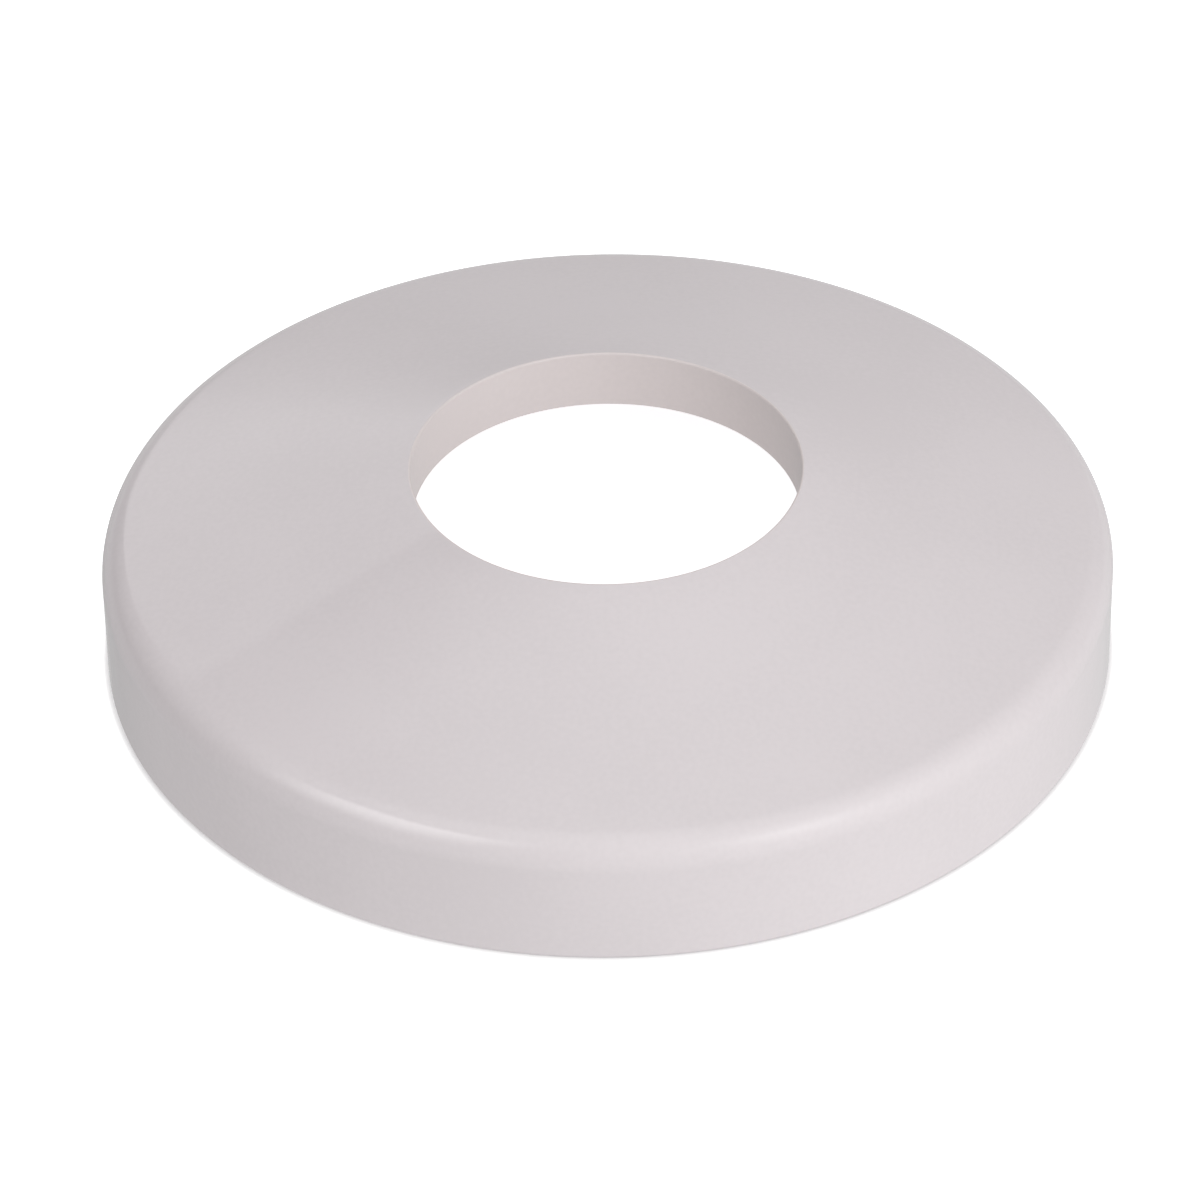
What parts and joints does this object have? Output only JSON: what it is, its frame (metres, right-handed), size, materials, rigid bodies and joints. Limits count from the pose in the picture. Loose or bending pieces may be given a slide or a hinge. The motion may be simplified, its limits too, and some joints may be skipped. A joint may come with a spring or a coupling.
{
  "type": "pipe escutcheon",
  "caption": "Round one-piece moulded plastic cover ring with a short skirt, conical crown and round hole, which hides the hole in a wall or deck round a pipe.",
  "frame": {"origin": "middle of the rim's flat face, where the ring meets the wall or deck", "axes": "+Z along the pipe, away from the wall; +X and +Y across the ring, which is the same all the way round"},
  "size_m": [0.127, 0.127, 0.0255],
  "materials": {
    "white_plastic": "glossy off-white, moulded"
  },
  "bodies": {
    "root": {"escutcheon": "white_plastic"}
  },
  "joints": []
}
